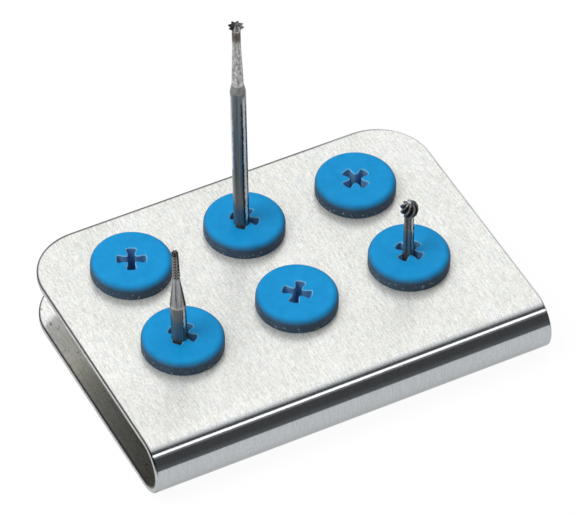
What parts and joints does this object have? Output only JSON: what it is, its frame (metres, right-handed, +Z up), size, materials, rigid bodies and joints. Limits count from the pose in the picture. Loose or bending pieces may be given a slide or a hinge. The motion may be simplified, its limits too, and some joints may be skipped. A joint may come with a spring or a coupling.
{
  "type": "dental bur block",
  "caption": "Low folded stainless stand with soft blue inserts whose cross-shaped sockets hold dental burs upright.",
  "frame": {"origin": "centre of the footprint, on the table", "axes": "+X along the fold to the right, +Y from the fold at the front to the open back, +Z up"},
  "size_m": [0.0644, 0.0465, 0.0512],
  "materials": {
    "steel_sheet": "fine brushed stainless",
    "silicone": "satin blue silicone",
    "rose_carbide": "ground carbide",
    "tall_shank_steel": "polished hardened steel, frosted neck",
    "fissure_carbide": "cross-cut ground carbide",
    "tapered_shank_steel": "polished hardened steel",
    "ball_carbide": "ground carbide",
    "ball_shank_steel": "polished hardened steel"
  },
  "bodies": {
    "root": {"folded_plate": "steel_sheet", "insert_back_left": "silicone", "insert_back_middle": "silicone", "insert_back_right": "silicone", "insert_front_left": "silicone", "insert_front_middle": "silicone", "insert_front_right": "silicone", "tall_bur_head": "rose_carbide", "tall_bur_shank": "tall_shank_steel", "tapered_bur_head": "fissure_carbide", "tapered_bur_shank": "tapered_shank_steel", "ball_bur_head": "ball_carbide", "ball_bur_shank": "ball_shank_steel"}
  },
  "joints": []
}
